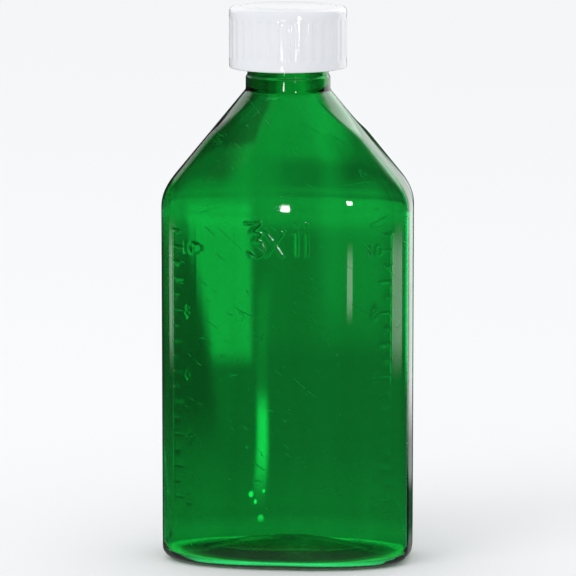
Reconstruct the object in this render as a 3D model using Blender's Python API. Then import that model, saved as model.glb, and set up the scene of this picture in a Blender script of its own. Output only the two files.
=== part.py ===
"""Oval prescription bottle, 12 fluid ounces, with a two-shell push-and-turn closure.

Metres, +Z up, origin at the centre of the base. X runs across the wide faces and -Y is the front.
Five mouldings: bottle, liner, inner_cap, spring_disc and outer_cap. The inner cap screws on the neck,
and the outer cap turns and presses down over it.
"""

import math

import bmesh
import bpy
from mathutils import Vector

# Driving dimensions of the bottle.
BODY_WIDTH = 0.0770
BODY_DEPTH = 0.0470
SHOULDER_CORNER_Z = 0.1147
NECK_ROOT_Z = 0.1456
NECK_RADIUS = 0.0130
MOUTH_Z = 0.1652
WALL = 0.00075

# Driving dimensions of the closure.
CAP_RADIUS = 0.0180
CAP_BOTTOM_Z = 0.1524
CAP_TOP_Z = 0.1712

# Screw finish, 28 mm with six threads to the inch.
THREAD_PITCH = 0.0254 / 6
FINISH_STEP_Z = 0.1497
FINISH_ROOT_RADIUS = 0.0125
FINISH_CREST_RADIUS = 0.0136
BORE_RADIUS = 0.0108
THREAD_TURNS = 1.25
THREAD_LOW_Z = MOUTH_Z - 0.0070
NECK_THREAD_BASE = 0.0022
NECK_THREAD_FLAT = 0.0010

# Facets around each kind of round shape.
FRONT_SEGMENTS = 18
SIDE_SEGMENTS = 6
CAP_SEGMENTS = 64
THREAD_SEGMENTS_PER_TURN = 48
BURIED = 0.0004

# Colours as linear RGB, with roughness.
GREEN_PET = ((0.004, 0.230, 0.045), 0.08)
WHITE_POLYPROPYLENE = ((0.82, 0.83, 0.84), 0.32)
NATURAL_POLYPROPYLENE = ((0.66, 0.67, 0.64), 0.40)
LINER_FOAM = ((0.86, 0.85, 0.80), 0.70)


def clear_scene():
    for leftover in list(bpy.data.objects):
        bpy.data.objects.remove(leftover)


def plastic(name, colour_and_roughness):
    colour, roughness = colour_and_roughness
    material = bpy.data.materials.new(name)
    material.use_nodes = True
    shader = material.node_tree.nodes["Principled BSDF"]
    shader.inputs["Base Color"].default_value = (*colour, 1.0)
    shader.inputs["Roughness"].default_value = roughness
    shader.inputs["Metallic"].default_value = 0.0
    return material


def add_object(name, mesh_builder, material=None, smooth_angle=math.radians(30)):
    """Makes an object from a bmesh, with its normals facing out and round faces shaded smooth."""
    bmesh.ops.recalc_face_normals(mesh_builder, faces=mesh_builder.faces)
    mesh = bpy.data.meshes.new(name)
    mesh_builder.to_mesh(mesh)
    mesh_builder.free()
    mesh.shade_smooth()
    mesh.set_sharp_from_angle(angle=smooth_angle)
    made = bpy.data.objects.new(name, mesh)
    bpy.context.scene.collection.objects.link(made)
    if material:
        mesh.materials.append(material)
    return made


def join_to(target, helper):
    """Unites a helper solid with the target through a Boolean modifier, and hides the helper."""
    helper.hide_render = True
    helper.display_type = "WIRE"
    union = target.modifiers.new("join_" + helper.name, "BOOLEAN")
    union.operation = "UNION"
    union.object = helper


def bridge_rings(builder, rings, as_loop=False):
    """Joins rings of points of equal count with quads.

    The first and the last ring are filled, or as a loop, the last ring is joined back to the first.
    """
    made = [[builder.verts.new(point) for point in ring] for ring in rings]
    count = len(made[0])
    upper_rings = made[1:] + made[:1] if as_loop else made[1:]
    for lower, upper in zip(made, upper_rings):
        for i in range(count):
            following = (i + 1) % count
            builder.faces.new((lower[i], lower[following], upper[following], upper[i]))
    if not as_loop:
        builder.faces.new(reversed(made[0]))
        builder.faces.new(made[-1])


def circle_ring(radius, z, segments):
    step = 2 * math.pi / segments
    return [
        Vector((radius * math.cos(i * step), radius * math.sin(i * step), z))
        for i in range(segments)
    ]


def turned(profile, segments):
    """Turns a list of (radius, height) points about Z. The profile's two ends are closed flat."""
    builder = bmesh.new()
    bridge_rings(builder, [circle_ring(radius, z, segments) for radius, z in profile])
    return builder


# ---------------------------------------------------------------------------------------------
# Bottle: one blow-moulded shell, lofted from its base over the outside to the mouth, then back
# down the inside. Each cross-section has a bowed front and back and a narrow flat side panel.
# ---------------------------------------------------------------------------------------------

PANEL_HALF_DEPTH = 0.0091
PANEL_RADIUS = 0.095
FRONT_EXPONENT = 2.5
ROUND_PANEL_ANGLE = math.radians(45)

HEEL_RADIUS = 0.0035
CONTACT_RING_WIDTH = 0.0020
PUSH_UP_HALF_WIDTH = 0.0260
PUSH_UP_HALF_DEPTH = 0.0165
PUSH_UP_LIP_Z = 0.0008
PUSH_UP_HEIGHT = 0.0046
BASE_THICKNESS = 0.0014
LIP_BEVEL_WIDTH = 0.0009
LIP_BEVEL_HEIGHT = 0.0008
MOUTH_EDGE = 0.0003

SHOULDER_BEND = 0.0047
SHOULDER_WALL_DROP = 0.45
DEPTH_EXPONENT = 1.45
ROUND_FROM = 0.6


def side_arc(half_width, y):
    """X of the side panel's arc at y, where the panel bulges out to half_width in its middle."""
    return half_width - PANEL_RADIUS + math.sqrt(PANEL_RADIUS * PANEL_RADIUS - y * y)


def panel_outline(half_width, half_depth):
    """One quarter of the body's section, from the middle of the side panel to the middle of the front."""
    crease_x = side_arc(half_width, PANEL_HALF_DEPTH)
    share = 1 - (PANEL_HALF_DEPTH / half_depth) ** FRONT_EXPONENT
    full_width = crease_x / share ** (1 / FRONT_EXPONENT)
    points = []
    for i in range(SIDE_SEGMENTS // 2):
        y = PANEL_HALF_DEPTH * i / (SIDE_SEGMENTS // 2)
        points.append((side_arc(half_width, y), y))
    start = math.acos((crease_x / full_width) ** (FRONT_EXPONENT / 2))
    for i in range(FRONT_SEGMENTS // 2 + 1):
        angle = start + (math.pi / 2 - start) * i / (FRONT_SEGMENTS // 2)
        x = full_width * max(0.0, math.cos(angle)) ** (2 / FRONT_EXPONENT)
        points.append((x, half_depth * math.sin(angle) ** (2 / FRONT_EXPONENT)))
    points[-1] = (0.0, half_depth)
    return points


def round_outline(half_width, half_depth):
    """One quarter of an ellipse, with the same number of points on the panel and on the front."""
    angles = [
        ROUND_PANEL_ANGLE * i / (SIDE_SEGMENTS // 2) for i in range(SIDE_SEGMENTS // 2)
    ]
    rest = math.pi / 2 - ROUND_PANEL_ANGLE
    half_front = FRONT_SEGMENTS // 2
    angles += [ROUND_PANEL_ANGLE + rest * i / half_front for i in range(half_front + 1)]
    points = [(half_width * math.cos(a), half_depth * math.sin(a)) for a in angles]
    points[-1] = (0.0, half_depth)
    return points


def section(half_width, half_depth, z, roundness):
    """A whole cross-section at height z. Roundness 0 has side panels and 1 is an ellipse."""
    quarter = round_outline(half_width, half_depth)
    if roundness < 1:
        flat = panel_outline(half_width, half_depth)
        quarter = [
            (a * (1 - roundness) + c * roundness, b * (1 - roundness) + d * roundness)
            for (a, b), (c, d) in zip(flat, quarter)
        ]
    half = quarter + [(-x, y) for x, y in reversed(quarter[:-1])]
    whole = half + [(x, -y) for x, y in reversed(half[1:-1])]
    return [Vector((x, y, z)) for x, y in whole]


def eased(start, end, share):
    return start + (end - start) * share * share * (3 - 2 * share)


def shoulder_rows(inset):
    """Rows from the straight body over the shoulder to the neck, moved inwards by inset."""
    slope = (BODY_WIDTH / 2 - NECK_RADIUS) / (NECK_ROOT_Z - SHOULDER_CORNER_Z)
    rows = []
    # The side turns into its straight slope along a parabola that is tangent to both.
    for i in range(5):
        share = i / 4
        rise = SHOULDER_BEND * (2 * share)
        run = slope * SHOULDER_BEND * share * share
        rows.append((BODY_WIDTH / 2 - run, SHOULDER_CORNER_Z - SHOULDER_BEND + rise))
    last_x, last_z = rows[-1]
    for share in (0.2, 0.4, 0.6, 0.8, 0.93):
        z = last_z + (NECK_ROOT_Z - last_z) * share
        rows.append((last_x + (NECK_RADIUS - last_x) * share, z))
    made = []
    low_z = SHOULDER_CORNER_Z - SHOULDER_BEND
    for half_width, z in rows:
        share = (z - low_z) / (NECK_ROOT_Z - low_z)
        half_depth = BODY_DEPTH / 2 + (NECK_RADIUS - BODY_DEPTH / 2) * share**DEPTH_EXPONENT
        roundness = eased(0.0, 1.0, max(0.0, (share - ROUND_FROM) / (1 - ROUND_FROM)))
        z -= inset * SHOULDER_WALL_DROP
        made.append((half_width - inset, half_depth - inset, z, roundness))
    return made


def bottle_rings():
    half_width = BODY_WIDTH / 2
    half_depth = BODY_DEPTH / 2
    outer = []
    # Push-up of the base, from its middle out to its lip.
    for share in (0.12, 0.4, 0.7, 1.0):
        low_z = PUSH_UP_LIP_Z + LIP_BEVEL_HEIGHT
        z = low_z + (PUSH_UP_HEIGHT - low_z) * (1 - share**2)
        width = (PUSH_UP_HALF_WIDTH - LIP_BEVEL_WIDTH) * share
        depth = (PUSH_UP_HALF_DEPTH - LIP_BEVEL_WIDTH) * share
        outer.append((width, depth, z, 1.0))
    outer.append((PUSH_UP_HALF_WIDTH, PUSH_UP_HALF_DEPTH, PUSH_UP_LIP_Z, 0.9))
    ring_inset = HEEL_RADIUS + CONTACT_RING_WIDTH
    outer.append((half_width - ring_inset, half_depth - ring_inset, 0.0, 0.3))
    for angle in (0, 30, 60, 90):
        turn = math.radians(angle)
        inset = HEEL_RADIUS * (1 - math.sin(turn))
        z = HEEL_RADIUS * (1 - math.cos(turn))
        outer.append((half_width - inset, half_depth - inset, z, 0.15 * (1 - angle / 90)))
    outer += shoulder_rows(0.0)
    outer += [
        (NECK_RADIUS, NECK_RADIUS, NECK_ROOT_Z + 0.0003, 1.0),
        (NECK_RADIUS, NECK_RADIUS, FINISH_STEP_Z, 1.0),
        (FINISH_ROOT_RADIUS, FINISH_ROOT_RADIUS, FINISH_STEP_Z + 0.0004, 1.0),
        (FINISH_ROOT_RADIUS, FINISH_ROOT_RADIUS, MOUTH_Z - MOUTH_EDGE, 1.0),
        (FINISH_ROOT_RADIUS - MOUTH_EDGE, FINISH_ROOT_RADIUS - MOUTH_EDGE, MOUTH_Z, 1.0),
    ]
    inner = [
        (BORE_RADIUS + MOUTH_EDGE, BORE_RADIUS + MOUTH_EDGE, MOUTH_Z, 1.0),
        (BORE_RADIUS, BORE_RADIUS, MOUTH_Z - 0.0004, 1.0),
        (BORE_RADIUS, BORE_RADIUS, FINISH_STEP_Z, 1.0),
        (BORE_RADIUS + 0.0006, BORE_RADIUS + 0.0006, NECK_ROOT_Z + 0.0008, 1.0),
    ]
    inner += reversed(shoulder_rows(WALL)[:-1])
    inner_heel = HEEL_RADIUS - WALL
    for angle in (90, 45, 0):
        turn = math.radians(angle)
        inset = WALL + inner_heel * (1 - math.sin(turn))
        z = BASE_THICKNESS + inner_heel * (1 - math.cos(turn))
        inner.append((half_width - inset, half_depth - inset, z, 0.15 * (1 - angle / 90)))
    inner.append((PUSH_UP_HALF_WIDTH, PUSH_UP_HALF_DEPTH, PUSH_UP_LIP_Z + BASE_THICKNESS, 0.9))
    for share in (0.85, 0.5, 0.15):
        rise = (PUSH_UP_HEIGHT - PUSH_UP_LIP_Z) * (1 - share**2)
        z = PUSH_UP_LIP_Z + BASE_THICKNESS + rise
        inner.append((PUSH_UP_HALF_WIDTH * share, PUSH_UP_HALF_DEPTH * share, z, 1.0))
    return [section(*row) for row in outer + inner]


def helical_thread(name, root, crest, low_z, start_turn, turns, base_width, crest_width):
    """A right-hand screw thread as a closed sweep of a trapezium, tapered away at both ends.

    The thread stands from the root radius towards the crest radius, and its foot is buried.
    """
    outwards = 1 if crest > root else -1
    builder = bmesh.new()
    steps = round(turns * THREAD_SEGMENTS_PER_TURN)
    fade = THREAD_SEGMENTS_PER_TURN / 12
    rings = []
    for i in range(steps + 1):
        turn = start_turn + i / THREAD_SEGMENTS_PER_TURN
        height_share = min(1.0, 0.08 + min(i, steps - i) / fade)
        radius = root + (crest - root) * height_share
        z = low_z + THREAD_PITCH * turn
        angle = 2 * math.pi * turn
        direction = Vector((math.cos(angle), math.sin(angle), 0))
        foot = direction * (root - outwards * BURIED)
        top = direction * radius
        rings.append(
            [
                foot + Vector((0, 0, z - base_width / 2)),
                top + Vector((0, 0, z - crest_width / 2)),
                top + Vector((0, 0, z + crest_width / 2)),
                foot + Vector((0, 0, z + base_width / 2)),
            ]
        )
    bridge_rings(builder, rings)
    return add_object(name, builder)


def make_bottle():
    builder = bmesh.new()
    bridge_rings(builder, bottle_rings())
    bottle = add_object("bottle", builder, plastic("green_pet", GREEN_PET))
    thread = helical_thread(
        "neck_thread",
        root=FINISH_ROOT_RADIUS,
        crest=FINISH_CREST_RADIUS,
        low_z=THREAD_LOW_Z,
        start_turn=0.0,
        turns=THREAD_TURNS,
        base_width=NECK_THREAD_BASE,
        crest_width=NECK_THREAD_FLAT,
    )
    join_to(bottle, thread)


# ---------------------------------------------------------------------------------------------
# Liner: a foam disc that seals on the mouth, inside the inner cap.
# ---------------------------------------------------------------------------------------------

LINER_RADIUS = 0.0133
LINER_THICKNESS = 0.0010
RESTING_GAP = 0.00005


def make_liner():
    low = MOUTH_Z + RESTING_GAP
    edge = 0.0001
    profile = [
        (LINER_RADIUS - edge, low),
        (LINER_RADIUS, low + edge),
        (LINER_RADIUS, low + LINER_THICKNESS - edge),
        (LINER_RADIUS - edge, low + LINER_THICKNESS),
    ]
    add_object("liner", turned(profile, CAP_SEGMENTS), plastic("liner_foam", LINER_FOAM))


# ---------------------------------------------------------------------------------------------
# Inner cap: the threaded shell that seals the bottle, with ratchet lugs on its top.
# ---------------------------------------------------------------------------------------------

INNER_CEILING_Z = MOUTH_Z + LINER_THICKNESS + 2 * RESTING_GAP
INNER_TOP_Z = INNER_CEILING_Z + 0.0012
INNER_BOTTOM_Z = CAP_BOTTOM_Z + 0.0016
INNER_THREAD_ROOT = 0.0139
INNER_THREAD_CREST = 0.01285
INNER_OUTSIDE_RADIUS = 0.0151
FLANK_OFFSET = 0.0015
INNER_THREAD_RISE = 0.0014
INNER_THREAD_BASE = 0.0019
INNER_THREAD_FLAT = 0.0008
INNER_CENTRE_RADIUS = 0.0020

LUG_COUNT = 12
LUG_INNER_RADIUS = 0.0104
LUG_OUTER_RADIUS = 0.0134
LUG_HEIGHT = 0.0010
LUG_FOOT_ANGLE = math.radians(10)
LUG_TOP_ANGLE = math.radians(5)


def ratchet_lugs(name, foot_z, upwards, turned_by):
    """Twelve lugs in a ring. Each has one upright face that drives and one ramp that slips."""
    builder = bmesh.new()
    sign = 1 if upwards else -1
    for i in range(LUG_COUNT):
        middle = 2 * math.pi * i / LUG_COUNT + turned_by
        upright = middle - sign * LUG_FOOT_ANGLE / 2
        corners = [
            (upright, foot_z - sign * BURIED),
            (upright + sign * LUG_FOOT_ANGLE, foot_z - sign * BURIED),
            (upright + sign * LUG_FOOT_ANGLE, foot_z),
            (upright + sign * LUG_TOP_ANGLE, foot_z + sign * LUG_HEIGHT),
            (upright, foot_z + sign * LUG_HEIGHT),
        ]
        faces = [
            [Vector((r * math.cos(a), r * math.sin(a), z)) for a, z in corners]
            for r in (LUG_INNER_RADIUS, LUG_OUTER_RADIUS)
        ]
        bridge_rings(builder, faces)
    return add_object(name, builder)


def make_inner_cap():
    material = plastic("natural_polypropylene", NATURAL_POLYPROPYLENE)
    edge = 0.0003
    profile = [
        (INNER_CENTRE_RADIUS, INNER_TOP_Z),
        (INNER_OUTSIDE_RADIUS - 0.0008, INNER_TOP_Z),
        (INNER_OUTSIDE_RADIUS - 0.0002, INNER_TOP_Z - 0.0006),
        (INNER_OUTSIDE_RADIUS, INNER_BOTTOM_Z + edge),
        (INNER_OUTSIDE_RADIUS - edge, INNER_BOTTOM_Z),
        (INNER_THREAD_ROOT + edge, INNER_BOTTOM_Z),
        (INNER_THREAD_ROOT, INNER_BOTTOM_Z + edge),
        (INNER_THREAD_ROOT, INNER_CEILING_Z),
        (INNER_CENTRE_RADIUS, INNER_CEILING_Z),
    ]
    inner = add_object("inner_cap", turned(profile, CAP_SEGMENTS), material)
    start_turn = (INNER_BOTTOM_Z + INNER_THREAD_RISE + FLANK_OFFSET - THREAD_LOW_Z) / THREAD_PITCH
    thread = helical_thread(
        "inner_cap_thread",
        root=INNER_THREAD_ROOT,
        crest=INNER_THREAD_CREST,
        low_z=THREAD_LOW_Z - FLANK_OFFSET,
        start_turn=start_turn,
        turns=THREAD_TURNS,
        base_width=INNER_THREAD_BASE,
        crest_width=INNER_THREAD_FLAT,
    )
    join_to(inner, thread)
    lugs = ratchet_lugs("inner_cap_lugs", INNER_TOP_Z, upwards=True, turned_by=0.0)
    join_to(inner, lugs)


# ---------------------------------------------------------------------------------------------
# Outer cap: the fluted shell that the hand holds, kept on by a bead under the inner cap.
# ---------------------------------------------------------------------------------------------

OUTER_CEILING_Z = CAP_TOP_Z - 0.0013
OUTER_INSIDE_RADIUS = 0.0162
RIB_COUNT = 32
RIB_DEPTH = 0.0003
BAND_HEIGHT = 0.0029
TOP_BAND_LOW_Z = CAP_TOP_Z - 0.0034
TOP_DISC_RADIUS = 0.0162
BEAD_RADIUS = 0.01475
OUTER_CENTRE_RADIUS = 0.0015


def grip_ribs():
    """Thirty-two upright ribs whose crests stand level with the smooth bands above and below."""
    builder = bmesh.new()
    low = CAP_BOTTOM_Z + BAND_HEIGHT - BURIED
    high = TOP_BAND_LOW_Z + BURIED
    foot = CAP_RADIUS - RIB_DEPTH - BURIED
    crest = CAP_RADIUS - 0.00006
    for i in range(RIB_COUNT):
        angle = 2 * math.pi * (i + 0.5) / RIB_COUNT
        outward = Vector((math.cos(angle), math.sin(angle), 0))
        across = Vector((-math.sin(angle), math.cos(angle), 0))
        corners = [(foot, -0.0009), (crest, -0.0004), (crest, 0.0004), (foot, 0.0009)]
        rings = [
            [outward * r + across * s + Vector((0, 0, z)) for r, s in corners]
            for z in (low, high)
        ]
        bridge_rings(builder, rings)
    return add_object("grip_ribs", builder)


def make_outer_cap():
    material = plastic("white_polypropylene", WHITE_POLYPROPYLENE)
    band_top = CAP_BOTTOM_Z + BAND_HEIGHT
    groove = CAP_RADIUS - RIB_DEPTH
    bead_low = CAP_BOTTOM_Z + 0.0005
    bead_high = INNER_BOTTOM_Z - 0.0002
    profile = [
        (OUTER_CENTRE_RADIUS, CAP_TOP_Z),
        (TOP_DISC_RADIUS, CAP_TOP_Z),
        (CAP_RADIUS - 0.0009, CAP_TOP_Z - 0.0003),
        (CAP_RADIUS - 0.0002, CAP_TOP_Z - 0.0008),
        (CAP_RADIUS, CAP_TOP_Z - 0.0014),
        (CAP_RADIUS, TOP_BAND_LOW_Z),
        (groove, TOP_BAND_LOW_Z - RIB_DEPTH),
        (groove, band_top + RIB_DEPTH),
        (CAP_RADIUS, band_top),
        (CAP_RADIUS, CAP_BOTTOM_Z + 0.0003),
        (CAP_RADIUS - 0.0003, CAP_BOTTOM_Z),
        (OUTER_INSIDE_RADIUS, CAP_BOTTOM_Z),
        (BEAD_RADIUS, bead_low),
        (BEAD_RADIUS, bead_high - 0.0002),
        (BEAD_RADIUS + 0.0002, bead_high),
        (OUTER_INSIDE_RADIUS, bead_high),
        (OUTER_INSIDE_RADIUS - 0.0002, OUTER_CEILING_Z),
        (OUTER_CENTRE_RADIUS, OUTER_CEILING_Z),
    ]
    outer = add_object("outer_cap", turned(profile, CAP_SEGMENTS), material)
    join_to(outer, grip_ribs())
    half_step = math.pi / LUG_COUNT
    lugs = ratchet_lugs("outer_cap_lugs", OUTER_CEILING_Z, upwards=False, turned_by=half_step)
    join_to(outer, lugs)


# ---------------------------------------------------------------------------------------------
# Spring disc: a ring under the outer cap's top, with six sloping leaves that press on the inner cap.
# ---------------------------------------------------------------------------------------------

SPRING_OUTER_RADIUS = 0.0088
SPRING_INNER_RADIUS = 0.0040
SPRING_RING_THICKNESS = 0.0006
LEAF_COUNT = 6
LEAF_THICKNESS = 0.0005
LEAF_ANGLE = math.radians(44)


def spring_leaves(top_z, tip_z):
    """Six arc-shaped leaves that slope down from the ring to the inner cap's top."""
    builder = bmesh.new()
    steps = 5
    for i in range(LEAF_COUNT):
        start = 2 * math.pi * i / LEAF_COUNT
        rings = []
        for step in range(steps + 1):
            share = step / steps
            angle = start + LEAF_ANGLE * share
            low = eased(top_z - LEAF_THICKNESS - 0.00005, tip_z, share)
            inner = SPRING_OUTER_RADIUS - 0.0022
            rings.append(
                [
                    Vector((r * math.cos(angle), r * math.sin(angle), z))
                    for r, z in (
                        (inner, low),
                        (SPRING_OUTER_RADIUS - 0.0002, low),
                        (SPRING_OUTER_RADIUS - 0.0002, low + LEAF_THICKNESS),
                        (inner, low + LEAF_THICKNESS),
                    )
                ]
            )
        bridge_rings(builder, rings)
    return add_object("spring_leaves", builder)


def make_spring_disc():
    top = OUTER_CEILING_Z - RESTING_GAP
    low = top - SPRING_RING_THICKNESS
    builder = bmesh.new()
    rings = [
        circle_ring(radius, z, CAP_SEGMENTS // 2)
        for radius, z in (
            (SPRING_INNER_RADIUS, low),
            (SPRING_OUTER_RADIUS, low),
            (SPRING_OUTER_RADIUS, top),
            (SPRING_INNER_RADIUS, top),
        )
    ]
    bridge_rings(builder, rings, as_loop=True)
    material = plastic("spring_polypropylene", NATURAL_POLYPROPYLENE)
    disc = add_object("spring_disc", builder, material)
    join_to(disc, spring_leaves(top, INNER_TOP_Z + RESTING_GAP))


clear_scene()
make_bottle()
make_liner()
make_inner_cap()
make_spring_disc()
make_outer_cap()
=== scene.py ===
import math

import bpy
import numpy as np
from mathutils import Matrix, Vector


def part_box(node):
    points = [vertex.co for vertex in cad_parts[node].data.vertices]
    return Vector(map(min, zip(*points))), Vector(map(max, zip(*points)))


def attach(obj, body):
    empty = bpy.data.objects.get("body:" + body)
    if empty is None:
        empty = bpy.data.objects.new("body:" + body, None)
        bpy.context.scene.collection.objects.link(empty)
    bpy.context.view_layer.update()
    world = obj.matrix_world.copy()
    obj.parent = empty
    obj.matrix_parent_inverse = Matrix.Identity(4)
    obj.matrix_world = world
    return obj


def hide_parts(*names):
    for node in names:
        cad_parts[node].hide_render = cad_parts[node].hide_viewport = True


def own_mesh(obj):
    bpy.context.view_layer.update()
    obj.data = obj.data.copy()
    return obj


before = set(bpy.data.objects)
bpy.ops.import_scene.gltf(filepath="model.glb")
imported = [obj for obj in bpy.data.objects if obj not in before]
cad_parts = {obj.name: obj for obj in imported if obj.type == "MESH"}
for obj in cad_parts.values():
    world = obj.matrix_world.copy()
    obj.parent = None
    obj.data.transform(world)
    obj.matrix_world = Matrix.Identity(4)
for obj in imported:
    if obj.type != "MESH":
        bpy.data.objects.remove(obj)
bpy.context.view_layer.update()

# ---------------------------------------------------------------------------------------------
# Bottle. A twelve-ounce oval bottle with narrow side panels, blown from clear green PET in a mould
# of two halves. The mould cuts the raised ounce sign and scales, and leaves a fine seam up each
# side. The threaded finish is the neck of the preform, which is injection moulded first.
# All lengths here are in millimetres, and ring_piece turns them into metres.
# ---------------------------------------------------------------------------------------------

bottle_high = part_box("bottle")[1]
half_width = bottle_high.x * 1000
half_depth = bottle_high.y * 1000
mouth_z = bottle_high.z * 1000

wall = 0.75
side_panel_half = 9.1
side_panel_radius = 95.0
front_squareness = 2.5
shoulder_start_z = 110.0
shoulder_bend = 4.7
neck_root_z = 145.6
neck_radius = 13.0
finish_step_z = 149.7
finish_radius = 12.5
bore_radius = 10.8
mouth_edge = 0.3
thread_height = 1.1
thread_foot_half = 0.94
thread_crest_half = 0.5
thread_pitch = 25.4 / 6
thread_low_z = mouth_z - 7.0
thread_turns = 1.25
heel_radius = 3.5
base_thickness = 1.4
foot_inset = 5.5
push_up_half_width = 26.0
push_up_half_depth = 16.5
push_up_lip_z = 0.8


def eased(share):
    """Goes from 0 to 1 with a level start and a level end."""
    share = np.clip(share, 0, 1)
    return share * share * (3 - 2 * share)


def quarter(place, wide, deep, roundness):
    """X and Y of a quarter section. Place is 0 to 1 over the side panel, then 1 to 2 over the front."""
    edge_x = wide - side_panel_radius + math.sqrt(side_panel_radius**2 - side_panel_half**2)
    share = max(0.05, 1 - (side_panel_half / deep) ** front_squareness)
    start = math.acos(math.sqrt(share))
    side_y = side_panel_half * np.minimum(place, 1)
    side_x = wide - side_panel_radius + np.sqrt(side_panel_radius**2 - side_y**2)
    turn = start + (math.pi / 2 - start) * np.clip(place - 1, 0, 1)
    full = edge_x / share ** (1 / front_squareness)
    front_x = full * np.maximum(np.cos(turn), 0) ** (2 / front_squareness)
    front_y = deep * np.sin(turn) ** (2 / front_squareness)
    x = np.where(place < 1, side_x, front_x)
    y = np.where(place < 1, side_y, front_y)
    round_turn = math.pi / 4 * place
    x = x * (1 - roundness) + wide * np.cos(round_turn) * roundness
    y = y * (1 - roundness) + deep * np.sin(round_turn) * roundness
    return x, y


places = np.linspace(0, 2, 4001)
quarter_x, quarter_y = quarter(places, half_width, half_depth, 0.0)
quarter_arcs = np.append(0, np.cumsum(np.hypot(np.diff(quarter_x), np.diff(quarter_y))))
quarter_arc = quarter_arcs[-1]


def section(arcs, wide, deep, roundness):
    """X and Y at these distances round the body, with the creases of the side panels eased."""
    x = np.zeros(len(arcs))
    y = np.zeros(len(arcs))
    for shift, weight in ((-1.4, 1), (-0.7, 4), (0.0, 6), (0.7, 4), (1.4, 1)):
        number, along = np.divmod(arcs + shift, quarter_arc)
        number = number.astype(int) % 4
        along = np.where(number % 2 == 1, quarter_arc - along, along)
        part_x, part_y = quarter(np.interp(along, quarter_arcs, places), wide, deep, roundness)
        x += weight / 16 * np.where((number == 1) | (number == 2), -part_x, part_x)
        y += weight / 16 * np.where(number >= 2, -part_y, part_y)
    return x, y


def shoulder(z, inset):
    """The row of a profile at height z of the shoulder, moved inwards by inset."""
    slope = (half_width - neck_radius) / (neck_root_z - shoulder_start_z - shoulder_bend)
    rise = z - shoulder_start_z
    run = rise - shoulder_bend
    if rise < 2 * shoulder_bend:
        run = rise**2 / (4 * shoulder_bend)
    share = rise / (neck_root_z - shoulder_start_z)
    deep = half_depth - (half_depth - neck_radius) * share**1.45
    roundness = eased((share - 0.6) / 0.4)
    return (half_width - slope * run - inset, z - 0.45 * inset, deep - inset, roundness)


def heel(turn, radius, low_z, inset):
    """The row of a profile at this angle round the heel."""
    inset += radius * (1 - math.sin(turn))
    z = low_z + radius * (1 - math.cos(turn))
    return (half_width - inset, z, half_depth - inset, 0.15 * (1 - turn / (math.pi / 2)))


def soften(rows, rounding):
    """A profile in fine even steps with its corners rounded, and the length along it at each step."""
    rows = np.array(rows, float)
    step = 0.1
    lengths = np.append(0, np.cumsum(np.hypot(np.diff(rows[:, 0]), np.diff(rows[:, 1]))))
    even = np.linspace(0, lengths[-1], int(lengths[-1] / step))
    reach = int(3 * rounding / step)
    weights = np.exp(-0.5 * (np.arange(-reach, reach + 1) * step / rounding) ** 2)
    weights /= weights.sum()
    made = []
    for column in rows.T:
        padded = np.pad(np.interp(even, lengths, column), reach, "reflect", reflect_type="odd")
        made.append(np.convolve(padded, weights, "valid"))
    return np.column_stack(made), even


def graded(start, stop, wide, zones):
    """Places from start to stop, wide apart, but closer inside each (low, high, step) of zones."""
    fine = np.linspace(start, stop, 40001)
    density = np.full(len(fine), 1 / wide)
    for low, high, step in zones:
        inside = (fine >= low) & (fine <= high)
        density[inside] = np.maximum(density[inside], 1 / step)
    count = np.append(0, np.cumsum((density[1:] + density[:-1]) / 2 * np.diff(fine)))
    return np.interp(np.linspace(0, count[-1], round(count[-1]) + 1), count, fine)


def raised(x, z, strokes, reach):
    """How far, from 0 to 1, each point stands up on rounded strokes through lists of points."""
    nearest = np.full(np.shape(x), 1e9)
    for stroke in strokes:
        for (x0, z0), (x1, z1) in zip(stroke, stroke[1:]):
            run = x1 - x0
            rise = z1 - z0
            share = np.clip(((x - x0) * run + (z - z0) * rise) / (run**2 + rise**2), 0, 1)
            away = np.hypot(x - x0 - share * run, z - z0 - share * rise)
            nearest = np.minimum(nearest, away)
    return 0.5 + 0.5 * np.cos(np.pi * np.minimum(1, nearest / reach))


def thread_share(angle, z, low_z, start_turn, root_half, crest_half):
    """How far, from 0 to 1, a screw thread stands up at this angle and height."""
    share = np.zeros(np.shape(angle))
    for whole in range(-2, 4):
        turn = angle / (2 * np.pi) + whole
        done = np.minimum(turn - start_turn, start_turn + thread_turns - turn)
        fade = eased(done * 12)
        away = np.abs(z - low_z - thread_pitch * turn)
        flank = np.clip((root_half - away) / (root_half - crest_half), 0, 1)
        share = np.maximum(share, np.where(done > 0, fade * flank, 0))
    return share


def ring_piece(name, rings):
    """A closed smooth mesh from rings of points. A fan of triangles fills the first and last ring."""
    rows, columns, _ = rings.shape
    first = rings[0].mean(axis=0)
    last = rings[-1].mean(axis=0)
    points = np.concatenate((rings.reshape(-1, 3), [first, last])) * 0.001
    corner = np.arange(rows * columns).reshape(rows, columns)
    following = np.roll(corner, -1, axis=1)
    quads = np.stack((corner[:-1], following[:-1], following[1:], corner[1:]), axis=-1)
    faces = quads.reshape(-1, 4).tolist()
    faces += [(rows * columns, b, a) for a, b in zip(corner[0].tolist(), following[0].tolist())]
    faces += [(rows * columns + 1, a, b) for a, b in zip(corner[-1].tolist(), following[-1].tolist())]
    mesh = bpy.data.meshes.new(name)
    mesh.from_pydata(points.tolist(), [], faces)
    mesh.shade_smooth()
    piece = bpy.data.objects.new(name, mesh)
    bpy.context.scene.collection.objects.link(piece)
    return piece


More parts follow.
